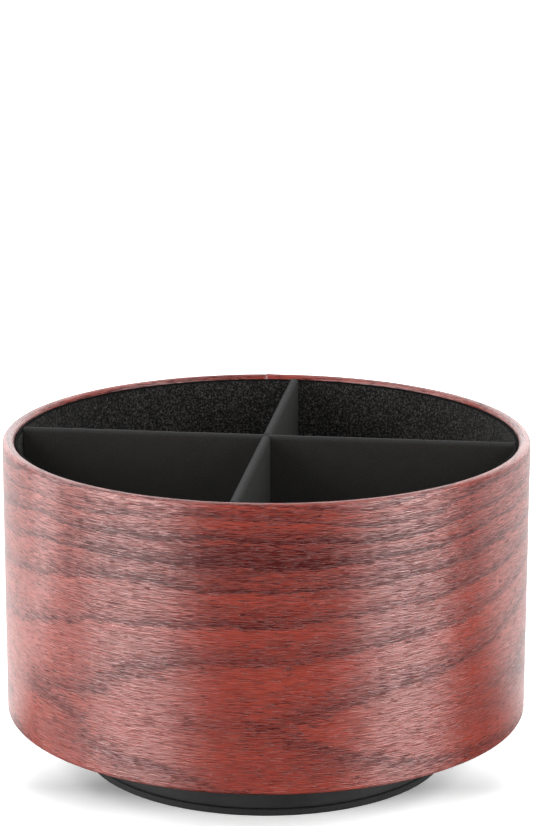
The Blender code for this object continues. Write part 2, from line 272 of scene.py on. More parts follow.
def screw_spots():
    x, y = abs(CORNER_SCREW.x), abs(CORNER_SCREW.y)
    return [(x, y), (-x, y), (-x, -y), (x, -y)]


def cut(obj, cutter_bm):
    """Cuts a closed bmesh out of the object for good."""
    mesh = bpy.data.meshes.new("cutter")
    cutter_bm.to_mesh(mesh)
    cutter_bm.free()
    cutter = bpy.data.objects.new("cutter", mesh)
    bpy.context.scene.collection.objects.link(cutter)
    boolean = obj.modifiers.new("cut", "BOOLEAN")
    boolean.operation = "DIFFERENCE"
    boolean.object = cutter
    graph = bpy.context.evaluated_depsgraph_get()
    result = bpy.data.meshes.new_from_object(obj.evaluated_get(graph))
    result.name = obj.data.name
    obj.modifiers.clear()
    obj.data = result
    obj.data.set_sharp_from_angle(angle=math.radians(40))
    bpy.data.objects.remove(cutter)


def bore(obj, spots, radius, low, high, sides=32):
    bm = bmesh.new()
    for x, y in spots:
        middle = Matrix.Translation((x, y, (low + high) / 2))
        bmesh.ops.create_cone(
            bm, cap_ends=True, segments=sides, radius1=radius, radius2=radius, depth=high - low, matrix=middle
        )
    cut(obj, bm)


def box_bm(low, high):
    low, high = Vector(low), Vector(high)
    bm = bmesh.new()
    size = Matrix.Diagonal((*(high - low), 1.0))
    bmesh.ops.create_cube(bm, size=1.0, matrix=Matrix.Translation((low + high) / 2) @ size)
    return bm


# Materials.


def with_alpha(value):
    """A colour with its alpha added. Sockets and numbers pass through."""
    return (*value, 1.0) if isinstance(value, tuple) else value


def feed(tree, socket, value):
    """Links a socket to another socket, or sets it to a value."""
    if isinstance(value, bpy.types.NodeSocket):
        tree.links.new(value, socket)
    else:
        socket.default_value = value


def add_node(tree, kind, *inputs, **settings):
    """A new node. The inputs go to its sockets in order, and None leaves one as it is."""
    made = tree.nodes.new(kind)
    for key, value in settings.items():
        setattr(made, key, value)
    for socket, value in zip(made.inputs, inputs):
        if value is not None:
            feed(tree, socket, value)
    return made


class Shader:
    """A material under construction.

    Each method adds one node and returns the socket that holds its result.
    """

    def __init__(self, name):
        self.material = bpy.data.materials.new(name)
        self.material.use_nodes = True
        self.tree = self.material.node_tree
        self.surface = self.tree.nodes["Principled BSDF"]

    def feed(self, socket, value):
        feed(self.tree, socket, value)

    def node(self, kind, *inputs, **settings):
        return add_node(self.tree, kind, *inputs, **settings)

    def math(self, operation, *values):
        return self.node("ShaderNodeMath", *values, operation=operation).outputs[0]

    def add(self, a, b):
        return self.math("ADD", a, b)

    def times(self, a, b):
        return self.math("MULTIPLY", a, b)

    def place(self):
        """The point on the object, in millimetres."""
        return self.scaled(self.node("ShaderNodeTexCoord").outputs["Object"], (1000, 1000, 1000))

    def height(self):
        """How high the point is on the object, in millimetres."""
        return self.node("ShaderNodeSeparateXYZ", self.place()).outputs[2]

    def sheet(self):
        """(along, up) on the flat sheet, in millimetres, as two sockets."""
        attribute = self.node("ShaderNodeAttribute", attribute_name="sheet")
        parts = self.node("ShaderNodeSeparateXYZ", attribute.outputs["Vector"])
        return parts.outputs[0], parts.outputs[1]

    def vector(self, x, y, z=0.0):
        return self.node("ShaderNodeCombineXYZ", x, y, z).outputs[0]

    def grey(self, level):
        return self.vector(level, level, level)

    def scaled(self, vector, factors):
        return self.node("ShaderNodeVectorMath", vector, factors, operation="MULTIPLY").outputs[0]

    def dot(self, vector, direction):
        return self.node("ShaderNodeVectorMath", vector, direction, operation="DOT_PRODUCT").outputs["Value"]

    def noise(self, vector, scale=1.0, detail=2.0, roughness=0.5, distortion=0.0):
        made = self.node("ShaderNodeTexNoise")
        for key, value in {
            "Vector": vector,
            "Scale": scale,
            "Detail": detail,
            "Roughness": roughness,
            "Distortion": distortion,
        }.items():
            self.feed(made.inputs[key], value)
        return made.outputs["Fac"]

    def cells(self, vector, scale):
        made = self.node("ShaderNodeTexVoronoi")
        self.feed(made.inputs["Vector"], vector)
        self.feed(made.inputs["Scale"], scale)
        return made.outputs["Distance"]

    def between(self, value, low, high, to_low=0.0, to_high=1.0):
        """The value carried from low..high to to_low..to_high, and held there outside."""
        return self.node("ShaderNodeMapRange", value, low, high, to_low, to_high).outputs[0]

    def ramp(self, value, stops):
        """A grey curve through (place, level) stops."""
        made = self.node("ShaderNodeValToRGB", value)
        elements = made.color_ramp.elements
        while len(elements) < len(stops):
            elements.new(0.5)
        for element, (place, level) in zip(elements, stops):
            element.position = place
            element.color = (level, level, level, 1)
        return made.outputs[0]

    def mix(self, share, a, b):
        """Colour a turning into colour b."""
        made = self.node("ShaderNodeMix", data_type="RGBA")
        for socket, value in ((made.inputs[0], share), (made.inputs[6], a), (made.inputs[7], b)):
            self.feed(socket, with_alpha(value))
        return made.outputs[2]

    def bump(self, height, strength, depth):
        """depth is in metres."""
        made = self.node("ShaderNodeBump")
        for key, value in {"Height": height, "Strength": strength, "Distance": depth}.items():
            self.feed(made.inputs[key], value)
        return made.outputs["Normal"]

    def finish(self, **inputs):
        """Sets the surface's inputs by name, with underscores for spaces, and returns the material."""
        for key, value in inputs.items():
            self.feed(self.surface.inputs[key.replace("_", " ")], with_alpha(value))
        return self.material


def growth_rings(sh, along, up):
    """How far through its growth ring each point of a flat-sawn sheet is.

    It runs from 0 at a ring's dark edge to 1. The rings are arches lying on their side. They are nested
    about one level and open along the sheet.
    """
    heart_level, heart_sway = 35.5, 3.0
    arch_power = 1.35
    arch_drift = 0.8
    drift_fade = 30.0
    first_ring, ring_warp = 9.6, 17.0
    ring_rate = 0.0135
    ring_growth = 3.66e-5
    warp = sh.noise(sh.vector(sh.times(along, 1 / 46), sh.times(up, 1 / 17)), detail=2.5)
    sway = sh.noise(sh.vector(sh.times(along, 1 / 130), 3.0), detail=0.0)
    heart = sh.between(sway, 0.3, 0.7, -heart_level - heart_sway, -heart_level + heart_sway)
    level = sh.math("ABSOLUTE", sh.add(up, heart))
    fade = sh.math("POWER", sh.times(level, 1 / drift_fade), 2.0)
    drift = sh.math("DIVIDE", sh.times(along, arch_drift), sh.add(fade, 1.0))
    arches = sh.math("SUBTRACT", sh.math("POWER", level, arch_power), drift)
    depth = sh.add(arches, sh.between(warp, 0.2, 0.8, first_ring - ring_warp, first_ring + ring_warp))
    squared = sh.math("POWER", sh.math("MAXIMUM", depth, 0.0), 2.0)
    rings = sh.add(sh.times(depth, ring_rate), sh.times(squared, ring_growth))
    return sh.math("FRACT", sh.add(rings, 10.0))


def wood_grain(sh, sheet, length, height, seed, detail=2.0):
    """Noise drawn out along the wall: its marks are about this long and high, in millimetres."""
    along, up = sheet
    place = sh.vector(sh.times(along, 1 / length), sh.times(up, 1 / height), seed)
    return sh.noise(place, detail=detail, roughness=0.6)


def wood_darkness(sh, sheet):
    """How dark the printed wood is, from 0 to about 1.

    It has growth rings, uneven streaks, darker wood towards the rim, and one dark patch under the rim.
    """
    along, up = sheet
    feather = sh.between(wood_grain(sh, sheet, 4.0, 0.5, 5.0), 0.25, 0.75, -0.13, 0.13)
    phase = sh.math("FRACT", sh.add(growth_rings(sh, along, up), feather))
    late = sh.ramp(phase, [(0.0, 0.85), (0.05, 1.0), (0.18, 0.5), (0.5, 0.15), (0.93, 0.0), (1.0, 0.35)])
    rings = sh.times(late, 0.6)
    top_zone = sh.between(up, 50.0, 85.0)
    clouds = sh.between(wood_grain(sh, sheet, 42, 3.6, 7.0), 0.3, 0.7, -0.14, 0.16)
    streaks = sh.between(wood_grain(sh, sheet, 22, 0.8, 3.0), 0.3, 0.7, -0.16, 0.16)
    uneven = sh.times(sh.add(clouds, streaks), sh.between(top_zone, 0.0, 1.0, 0.55, 1.0))
    across_patch = sh.math("POWER", sh.times(sh.add(along, 5.0), 1 / 42), 2.0)
    up_patch = sh.math("POWER", sh.times(sh.add(up, -86.0), 1 / 6), 2.0)
    from_patch = sh.add(across_patch, up_patch)
    patch = sh.times(sh.math("DIVIDE", 1.0, sh.add(from_patch, 1.0)), 0.5)
    return sh.add(sh.add(rings, uneven), sh.add(sh.times(top_zone, 0.12), patch))


def wood_pores(sh, sheet, dark):
    """Short dashes and longer threads of open pores, closer together where the wood is dark."""
    dashes = wood_grain(sh, sheet, 4.0, 0.25, 21.0, 1.2)
    dash = sh.between(sh.math("SUBTRACT", dashes, sh.between(dark, 0.0, 0.9, 0.61, 0.46)), 0.0, 0.04)
    threads = wood_grain(sh, sheet, 10.0, 0.3, 33.0, 1.0)
    thread = sh.between(sh.math("SUBTRACT", threads, sh.between(dark, 0.0, 0.9, 0.64, 0.51)), 0.0, 0.05)
    return sh.math("MAXIMUM", sh.times(dash, 0.8), sh.times(thread, 0.6))


def wood_grain_leatherette():
    """Printed and embossed reddish-brown wood grain, running round the wall.

    The embossed grooves spread reflections up and down the wall.
    """
    early_wood, early_wood_shaded = (0.305, 0.039, 0.022), (0.24, 0.032, 0.021)
    late_wood, open_pore = (0.13, 0.014, 0.010), (0.045, 0.005, 0.005)
    sh = Shader("wood_grain_leatherette")
    sheet = sh.sheet()
    dark = wood_darkness(sh, sheet)
    pores = wood_pores(sh, sheet, dark)
    tint = wood_grain(sh, sheet, 60, 9.0, 12.0)
    fibres = wood_grain(sh, sheet, 6.0, 0.3, 51.0)
    ridges = wood_grain(sh, sheet, 7.0, 0.25, 40.0, 1.5)

    base = sh.mix(sh.between(tint, 0.3, 0.7), early_wood, early_wood_shaded)
    base = sh.mix(sh.between(dark, 0.1, 0.9), base, late_wood)
    base = sh.scaled(base, sh.grey(sh.between(fibres, 0.35, 0.65, 0.72, 1.36)))
    base = sh.mix(pores, base, open_pore)
    glints = sh.between(fibres, 0.35, 0.65, 0.5, 0.95)
    return sh.finish(
        Base_Color=base,
        Roughness=sh.between(ridges, 0.35, 0.65, 0.36, 0.24),
        IOR=1.9,
        Specular_IOR_Level=sh.times(glints, sh.between(pores, 0.0, 1.0, 1.0, 0.25)),
        Anisotropic=1.0,
        Anisotropic_Rotation=0.25,
        Tangent=sh.node("ShaderNodeTangent", direction_type="RADIAL", axis="Z").outputs[0],
        Normal=sh.bump(sh.add(sh.times(ridges, 1.3), sh.times(pores, -0.3)), 1.0, 0.13 * MM),
    )


def black_leatherette():
    """Smooth black leatherette with a fine pebble."""
    sh = Shader("black_leatherette")
    place = sh.place()
    pebbles = sh.cells(place, 1.3)
    pores = sh.noise(place, 3.0, detail=2.0)
    tone = sh.noise(place, 0.06, detail=2.0)
    base = sh.mix(sh.between(tone, 0.3, 0.7), (0.030, 0.030, 0.0305), (0.046, 0.046, 0.046))
    grain = sh.bump(sh.add(pebbles, sh.times(pores, 0.5)), 0.35, 0.12 * MM)
    return sh.finish(Base_Color=base, Roughness=sh.between(pores, 0.3, 0.7, 0.5, 0.62), Normal=grain)


def flock():
    """Short black flock with paler flecks. Its colour and sheen are darkened at the wall's top edge, as
    painted shade over the liner's lit top.
    """
    sh = Shader("flock")
    place = sh.place()
    tufts = sh.noise(place, 1.7, detail=2.0, roughness=0.6, distortion=0.8)
    hairs = sh.noise(place, 5.0, detail=1.0)
    top = LINER_TOP / MM
    # edge is the band at the top of the wall where painted shade darkens the flock and takes away its sheen.
    edge = sh.between(sh.height(), top - 0.8, top - 0.3)
    fleck = sh.between(sh.add(tufts, sh.times(hairs, 0.2)), 0.60, 0.72)
    base = sh.mix(fleck, (0.0062, 0.006, 0.0058), (0.066, 0.062, 0.059))
    # Painted shade: the flock turns near black at the top edge.
    base = sh.mix(edge, base, (0.004, 0.004, 0.004))
    pile = sh.bump(sh.add(tufts, sh.times(hairs, 0.4)), 0.8, 0.5 * MM)
    return sh.finish(
        Base_Color=base,
        Roughness=0.95,
        Specular_IOR_Level=0.1,
        Sheen_Weight=sh.between(edge, 0.0, 1.0, 0.06, 0.0),
        Sheen_Roughness=0.5,
        Normal=pile,
    )


def divider_suede():
    """Black suede-like felt. Its rounded top edge is painted paler, partly as rubbed wear and partly as a
    painted highlight of the light from above.
    """
    sh = Shader("divider_suede")
    place = sh.place()
    mottle = sh.noise(place, 0.22, detail=4.0, roughness=0.6)
    nap = sh.noise(place, 2.2, detail=3.0, roughness=0.7)
    top = DIVIDER_TOP / MM
    # The top edge is painted paler: partly rubbed wear, partly a painted highlight.
    rubbed_and_highlit_top = sh.times(sh.between(sh.height(), top - 1.2, top), sh.between(nap, 0.25, 0.6, 0.4, 1.0))
    base = sh.mix(sh.between(mottle, 0.35, 0.7), (0.014, 0.0135, 0.0128), (0.018, 0.0174, 0.0164))
    base = sh.mix(sh.between(nap, 0.35, 0.7), base, (0.027, 0.026, 0.0245))
    base = sh.mix(rubbed_and_highlit_top, base, (0.028, 0.0275, 0.028))
    pile = sh.bump(sh.add(nap, sh.times(mottle, 0.6)), 0.6, 0.2 * MM)
    return sh.finish(
        Base_Color=base,
        Roughness=0.9,
        Specular_IOR_Level=0.1,
        Sheen_Weight=0.04,
        Sheen_Roughness=0.5,
        Normal=pile,
    )


def foam_pad():
    """Black closed-cell foam rubber."""
    sh = Shader("foam_pad")
    place = sh.place()
    cells = sh.cells(place, 2.2)
    specks = sh.noise(place, 6.0, detail=1.0)
    base = sh.mix(sh.between(specks, 0.4, 0.7), (0.028, 0.028, 0.0285), (0.046, 0.046, 0.046))
    skin = sh.bump(cells, 0.5, 0.12 * MM)
    return sh.finish(Base_Color=base, Roughness=0.8, Specular_IOR_Level=0.3, Normal=skin)


def fibreboard(name, pale, dark):
    """Pressed fibre, with short fibres and darker specks."""
    sh = Shader(name)
    place = sh.place()
    fibres = sh.noise(sh.scaled(place, (1.0, 1.0, 3.0)), 1.6, detail=4.0, roughness=0.7, distortion=0.6)
    specks = sh.between(sh.noise(place, 2.4, detail=1.0), 0.66, 0.72)
    base = sh.mix(sh.between(fibres, 0.3, 0.7), dark, pale)
    base = sh.mix(sh.times(specks, 0.6), base, (0.09, 0.06, 0.035))
    return sh.finish(Base_Color=base, Roughness=0.88, Normal=sh.bump(fibres, 0.5, 0.15 * MM))


def metal(name, colour, roughness, scratch):
    """Plated or polished steel with faint wiping marks and specks."""
    sh = Shader(name)
    place = sh.place()
    marks = sh.noise(sh.scaled(place, (0.4, 6.0, 6.0)), 1.0, detail=3.0, roughness=0.7)
    bloom = sh.noise(place, 0.25, detail=3.0)
    base = sh.mix(sh.between(bloom, 0.3, 0.7), colour, tuple(c * 0.82 for c in colour))
    return sh.finish(
        Base_Color=base,
        Metallic=1.0,
        Roughness=sh.between(marks, 0.3, 0.7, roughness - scratch, roughness + scratch),
        Normal=sh.bump(marks, 0.2, 0.02 * MM),
    )


def nylon():
    """Slightly translucent white nylon with moulding haze."""
    sh = Shader("nylon")
    haze = sh.noise(sh.place(), 0.5, detail=3.0)
    base = sh.mix(sh.between(haze, 0.3, 0.7), (0.74, 0.72, 0.66), (0.80, 0.79, 0.75))
    return sh.finish(
        Base_Color=base,
        Roughness=sh.between(haze, 0.3, 0.7, 0.35, 0.5),
        Subsurface_Weight=0.1,
        Normal=sh.bump(haze, 0.15, 0.05 * MM),
    )


# The tray.


def seam_angles(columns):
    """Angles round the body from the seam at the back, with the sheet's two ends a hair apart."""
    start = FRONT - math.pi
    half_gap = SEAM_GAP / 2 / BODY_RADIUS
    return np.linspace(start + half_gap, start + TAU - half_gap, columns)


def wrap_profile():
    """The wood-grain skin's section, and how many of its points are on its shown side."""
    level = BODY_TOP - RIM_ROUND
    edge = (BODY_RADIUS - EDGE_ROUND, BODY_BOTTOM + EDGE_ROUND)
    under_end = BODY_RADIUS - TURN_UNDER
    in_end = BODY_TOP - TURN_IN
    outer = (BODY_RADIUS - RIM_ROUND, level)
    inner = (BODY_RADIUS - RIM_WIDTH + RIM_ROUND, level)
    under = joined([(under_end, BODY_BOTTOM)], arc(edge, EDGE_ROUND, -90, 0, 5), spacing=2 * MM)
    wall = joined([under[-1]], arc(outer, RIM_ROUND, 0, 90, 7), spacing=0.62 * MM)[1:]
    turned_in = joined(arc(inner, RIM_ROUND, 90, 180, 7), [(BODY_RADIUS - RIM_WIDTH, in_end)], spacing=2 * MM)
    shown = under + wall + turned_in
    back = joined(
        [(BODY_RADIUS - RIM_WIDTH + SKIN, in_end)],
        arc(inner, RIM_ROUND - SKIN, 180, 90, 2),
        arc(outer, RIM_ROUND - SKIN, 90, 0, 2),
        arc(edge, EDGE_ROUND - SKIN, 0, -90, 1),
        [(under_end, BODY_BOTTOM + SKIN)],
        spacing=30 * MM,
    )
    return shown + back, len(shown), len(under)


def wood_grain_wrap(material):
    profile, shown, under = wrap_profile()
    angles = seam_angles(WRAP_COLUMNS)
    along = (np.append(angles, angles[0] + TAU) - FRONT) * BODY_RADIUS
    travelled = lengths_along(profile)
    # "up" on the sheet is the height on the wall, and runs on over the rim.
    up = travelled - travelled[under - 1] + profile[under - 1][1]

    emboss = ripples(along[:-1], up[:-1], 9, 1.5 * MM, 4.0) * 0.035 * MM
    slack = ripples(along[:-1], up[:-1], 2.2, 16 * MM, 8.0) * 0.06 * MM
    lap = SEAM_LAP * np.clip(1 - (along[-2] - along[:-1]) / SEAM_FADE, 0, 1) ** 2
    lift = (emboss + slack + lap) * (np.arange(len(profile)) < shown)[:, None]
    lift[0] = lift[shown - 1] = 0
    mesh = grid_mesh("wood_grain_skin", revolved(profile, angles, lift), along, up)
    return piece(mesh, material, "tray", "wood_grain_leatherette", "wood_grain_wrap")


def wall_liner(material):
    inside = LINER_OUTSIDE - FELT
    edge = 0.45 * MM
    shown = joined(
        [(LINER_OUTSIDE, LINER_BOTTOM)],
        [(LINER_OUTSIDE, LINER_TOP - edge)],
        arc((LINER_OUTSIDE - edge, LINER_TOP - edge), edge, 0, 90, 2),
        arc((inside + edge, LINER_TOP - edge), edge, 90, 180, 3),
        spacing=40 * MM,
    )
    profile = joined(shown, [(inside, LINER_BOTTOM)], spacing=0.72 * MM)
    angles = around(LINER_COLUMNS)
    smooth = revolved(profile, angles)
    on_inside = np.array([r < inside + edge for r, _ in profile])[:, None]
    tufts = bumps(smooth, 1.5 * MM, 3.0, 2)
    lift = np.clip(tufts, -1, 1) * 0.13 * MM * on_inside
    mesh = turned_mesh("liner_flock", profile, len(angles), lift)
    return piece(mesh, material, "tray", "flocked_liner", "wall_liner")


def floor_felt(material):
    edge = 0.3 * MM
    back = joined([(0, FELT_BOTTOM)], [(FELT_RADIUS, FELT_BOTTOM)], spacing=20 * MM)
    rim = arc((FELT_RADIUS - edge, FELT_TOP - edge), edge, 0, 90, 3)
    profile = joined(back, rim, [(0, FELT_TOP)], spacing=1.1 * MM)
    angles = around(FELT_COLUMNS)
    flat = revolved(profile, angles)
    on_top = np.array([z > FELT_TOP - edge / 2 for _, z in profile])[:, None]
    lift = np.clip(bumps(flat, 1.8 * MM, 5.0, 2), -1, 0) * 0.12 * MM * on_top
    mesh = turned_mesh("floor_flock", profile, len(angles), lift)
    return piece(mesh, material, "tray", "flocked_liner", "floor_felt")


def underside_cover(material):
    top = BODY_BOTTOM + SKIN
    profile = joined(
        [(0, BODY_BOTTOM)],
        arc((COVER_RADIUS - 0.2 * MM, BODY_BOTTOM + 0.2 * MM), 0.2 * MM, -90, 0, 2),
        [(COVER_RADIUS, top)],
        [(0, top)],
        spacing=4 * MM,
    )
    mesh = turned_mesh("underside_sheet", profile, COVER_COLUMNS)
    obj = piece(mesh, material, "tray", "black_leatherette", "underside_cover")
    bore(obj, screw_spots(), SCREW_HOLE, PLATE_TOP, FELT_BOTTOM)
    return obj


# Dividers.


def jacket_mesh(name, seed):
    """A bar along X with a rounded top, waved a little along its faces."""
    crown = DIVIDER_HALF * 0.92
    flat = DIVIDER_HALF - crown
    level = DIVIDER_TOP - crown
    section = joined(
        [(DIVIDER_HALF, DIVIDER_BOTTOM)],
        arc((flat, level), crown, 0, 90, 6),
        arc((-flat, level), crown, 90, 180, 6),
        [(-DIVIDER_HALF, DIVIDER_BOTTOM)],
        spacing=1.3 * MM,
    )
    across, heights = np.array(section).T
    stations = np.linspace(-DIVIDER_HALF_LENGTH, DIVIDER_HALF_LENGTH, DIVIDER_COLUMNS)
    points = np.zeros((len(section), len(stations), 3))
    points[:, :, 0] = stations
    points[:, :, 1] = across[:, None]
    points[:, :, 2] = heights[:, None]
    out = profile_normals(section)
    sink = -0.07 * MM * np.abs(bumps(points, 9 * MM, seed, 3))
    sink[[0, -1]] = 0
    points[:, :, 1] += sink * out[:, :1]
    points[:, :, 2] += sink * out[:, 1:]
    mesh = grid_mesh(name, points, stations, np.append(lengths_along(section), 0), wrap_columns=False)
    bm = bmesh.new()
    bm.from_mesh(mesh)
    bmesh.ops.holes_fill(bm, edges=[e for e in bm.edges if e.is_boundary])
    bmesh.ops.recalc_face_normals(bm, faces=bm.faces)
    bm.to_mesh(mesh)
    bm.free()
    return mesh


def divider_felt(name, material, seed, slot, turned):
    """A divider's felt jacket: hollow, open at the bottom, and slotted from slot[0] to slot[1]."""
    jacket = piece(jacket_mesh(name + "_jacket", seed), material, "tray", "divider_felt", name + "_felt")
    reach, width = DIVIDER_HALF_LENGTH - JACKET, DIVIDER_HALF - JACKET
    hollow = box_bm((-reach, -width, DIVIDER_BOTTOM - MM), (reach, width, DIVIDER_TOP - JACKET))
    corners = [e for e in hollow.edges if min(v.co.z for v in e.verts) > DIVIDER_BOTTOM]
    bmesh.ops.bevel(hollow, geom=corners, offset=GLUE_GAP, segments=1, affect="EDGES")
    cut(jacket, hollow)
    gap = DIVIDER_HALF + SLOT_SIDE_GAP
    cut(jacket, box_bm((-gap, -MM * 5, slot[0]), (gap, MM * 5, slot[1])))
    if turned:
        jacket.data.transform(Matrix.Rotation(math.pi / 2, 4, "Z"))
    return jacket


def dividers(material):
    """The divider along X is slotted at the bottom and the one along Y at the top."""
    middle = (DIVIDER_BOTTOM + DIVIDER_TOP) / 2
    divider_felt("cross_divider", material, 2.0, (DIVIDER_BOTTOM - MM, middle + GLUE_GAP), False)
    divider_felt("long_divider", material, 6.0, (middle - GLUE_GAP, DIVIDER_TOP + MM), True)


# The foot.


def foot_wrap(material):
    edge = EDGE_ROUND
    under_end = FOOT_RADIUS - FOOT_TURN_UNDER
    upper = (FOOT_RADIUS - edge, FOOT_TOP - edge)
    lower = (FOOT_RADIUS - edge, FOOT_BOTTOM + edge)
    inner = edge - SKIN
    shown = joined(
        [(under_end, FOOT_BOTTOM)],
        arc(lower, edge, -90, 0, 5),
        arc(upper, edge, 0, 90, 5),
        [(0, FOOT_TOP)],
        spacing=1.5 * MM,
    )
    back = joined(
        [(0, FOOT_TOP - SKIN)],
        arc(upper, inner, 90, 0, 1),
        arc(lower, inner, 0, -90, 1),
        [(under_end, FOOT_BOTTOM + SKIN)],
        spacing=30 * MM,
    )
    profile = shown + back
    angles = around(FOOT_COLUMNS)
    lift = -0.05 * MM * np.abs(bumps(revolved(profile, angles), 7 * MM, 1.0, 3))
    lift = lift * (np.arange(len(profile)) < len(shown))[:, None]
    mesh = turned_mesh("foot_skin", profile, len(angles), lift)
    obj = piece(mesh, material, "foot", "black_leatherette", "foot_wrap")
    low, high = FOOT_TOP - 2 * SKIN, FOOT_TOP + SKIN
    bore(obj, screw_spots(), SCREW_HOLE, low, high)
    bore(obj, [(math.hypot(*CORNER_SCREW.xy), 0)], ACCESS_HOLE, low, high, 48)
    return obj


def anti_slip_pad(material):
    edge = 0.4 * MM
    shown = joined(
        [(0, 0)],
        arc((FOOT_RADIUS - edge, edge), edge, -90, 0, 4),
        arc((FOOT_RADIUS - edge, PAD_TOP - edge), edge, 0, 90, 4),
        spacing=1.2 * MM,
    )
    profile = joined(shown, [(0, PAD_TOP)], spacing=20 * MM)
    angles = around(PAD_COLUMNS)
    dimples = np.clip(bumps(revolved(profile, angles), 1.7 * MM, 9.0, 2), 0, 1) * -0.07 * MM
    dimples = dimples * (np.arange(len(profile)) < len(shown))[:, None]
    mesh = turned_mesh("foam_pad", profile, len(angles), dimples)
    return piece(mesh, material, "foot", "pad", "anti_slip_pad")


# The bearing.


def plate_reach(angle):
    """How far the plate's edge is from its centre, in one direction."""
    far, near = sorted((abs(math.cos(angle)), abs(math.sin(angle))), reverse=True)
    to_side = PLATE_HALF_SIDE / far
    corner = PLATE_HALF_SIDE - PLATE_CORNER
    if to_side * near <= corner:
        return to_side
    along = corner * (far + near)
    return along + math.sqrt(along**2 - 2 * corner**2 + PLATE_CORNER**2)


def bearing_plate(name, material, upside_down, body):
    """A pressed plate: a dished middle, the ball race, and a flat border drawn out to a rounded square."""
    groove = BALL_RADIUS + RUNNING_GAP
    dish = RACE_LEVEL - RUNNING_GAP
    border = PLATE_BOTTOM + SHEET_METAL
    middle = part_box("bearing_eyelet")[1].x - EYELET_OVERLAP
    race = arc((RACE_RADIUS, RACE_LEVEL), groove, -90 - RACE_HALF_ANGLE, -90 + RACE_HALF_ANGLE, 8)
    face = joined(
        [(middle, dish), (DISH_RADIUS, dish)],
        race,
        [(race[-1][0] + RACE_SHOULDER, border)],
        [(PLATE_HALF_SIDE, border)],
        spacing=4 * MM,
    )
    below = [(r, z - SHEET_METAL) for r, z in face]
    mesh = turned_mesh(name + "_pressing", below + face[::-1], PLATE_COLUMNS)
    for vert in mesh.vertices:
        if vert.co.xy.length > PLATE_HALF_SIDE - 1e-6:
            vert.co.xy = vert.co.xy.normalized() * plate_reach(math.atan2(vert.co.y, vert.co.x))
        if upside_down:
            vert.co.z = 2 * RACE_LEVEL - vert.co.z
    if upside_down:
        mesh.flip_normals()
    obj = piece(mesh, material, body, "bearing_plate", name)
    bore(obj, screw_spots(), SCREW_HOLE, 0, FELT_TOP)
    return obj


def bearing_eyelet(material):
    low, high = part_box("bearing_eyelet")[0].z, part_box("bearing_eyelet")[1].z
    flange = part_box("bearing_eyelet")[1].x
    edge = 0.35 * MM
    profile = joined(
        [(EYELET_BORE, low)],
        arc((flange - edge, low + edge), edge, -90, 0, 3),
        [(flange, low + SHEET_METAL), (EYELET_TUBE, low + SHEET_METAL)],
        [(EYELET_TUBE, high - SHEET_METAL), (flange, high - SHEET_METAL)],
        arc((flange - edge, high - edge), edge, 0, 90, 3),
        [(EYELET_BORE, high)],
        spacing=3 * MM,
    )
    mesh = turned_mesh("eyelet", profile, EYELET_COLUMNS)
    mesh.set_sharp_from_angle(angle=math.radians(40))
    return piece(mesh, material, "foot", "bearing_plate", "bearing_eyelet")


def ball_cage(material):
    low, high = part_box("ball_cage")[0].z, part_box("ball_cage")[1].z
    inside, outside = RACE_RADIUS - CAGE_WIDTH / 2, RACE_RADIUS + CAGE_WIDTH / 2
    edge = 0.25 * MM
    profile = joined(
        arc((inside + edge, low + edge), edge, 180, 270, 2),
        arc((outside - edge, low + edge), edge, -90, 0, 2),
        arc((outside - edge, high - edge), edge, 0, 90, 2),
        arc((inside + edge, high - edge), edge, 90, 180, 2),
        spacing=4 * MM,
    )
    mesh = turned_mesh("cage_ring", profile, CAGE_COLUMNS)
    obj = piece(mesh, material, "ball_ring", "cage", "ball_cage")
    bore(obj, [centre_of(ball).xy for ball in BALLS], CAGE_POCKET, low - MM, high + MM)
    return obj


def bearing_balls(material):
    for ball in BALLS:
        bm = bmesh.new()
        bmesh.ops.create_icosphere(bm, subdivisions=4, radius=BALL_RADIUS)
        bmesh.ops.translate(bm, verts=bm.verts, vec=centre_of(ball))
        mesh = bpy.data.meshes.new(ball + "_polished")
        bm.to_mesh(mesh)
        bm.free()
        mesh.shade_smooth()
        piece(mesh, material, ball, "bearing_ball", ball)


def screw_mesh():
    """A pan-head screw on z = 0, with its head up and a helical thread on its shank."""
    head, length, root, crest = 2.7 * MM, 5.5 * MM, 1.1 * MM, 1.4 * MM
    shank = [(0.0, -length), (root * 0.5, -length)]
    rows = [(root, -length + 0.5 * MM + step) for step in np.arange(0, length - 1.2 * MM, SCREW_PITCH / 8)]
    cap = [
        (root, -0.3 * MM),
        (root, 0.0),
        (head - 0.1 * MM, 0.0),
        (head, 0.1 * MM),
        (head, SCREW_HEAD_HEIGHT * 0.3),
        (head * 0.95, SCREW_HEAD_HEIGHT * 0.6),
        (head * 0.8, SCREW_HEAD_HEIGHT * 0.86),
        (head * 0.5, SCREW_HEAD_HEIGHT * 0.97),
        (0.0, SCREW_HEAD_HEIGHT),
    ]
    profile = shank + rows + cap
    angles = around(SCREW_COLUMNS)
    lift = np.zeros((len(profile), len(angles)))
    for row in range(len(shank), len(shank) + len(rows)):
        turn = (profile[row][1] / SCREW_PITCH - angles / TAU) % 1.0
        lift[row] = (crest - root) * (1 - np.abs(2 * turn - 1))
    mesh = turned_mesh("screw", profile, len(angles), lift)
    obj = placed(mesh, None)
    arm, half = 1.5 * MM, 0.35 * MM
    for across, along in ((arm, half), (half, arm)):
        low, high = SCREW_HEAD_HEIGHT - 0.9 * MM, SCREW_HEAD_HEIGHT + MM
        cut(obj, box_bm((-across, -along, low), (across, along, high)))
    mesh = obj.data
    bpy.data.objects.remove(obj)
    return mesh


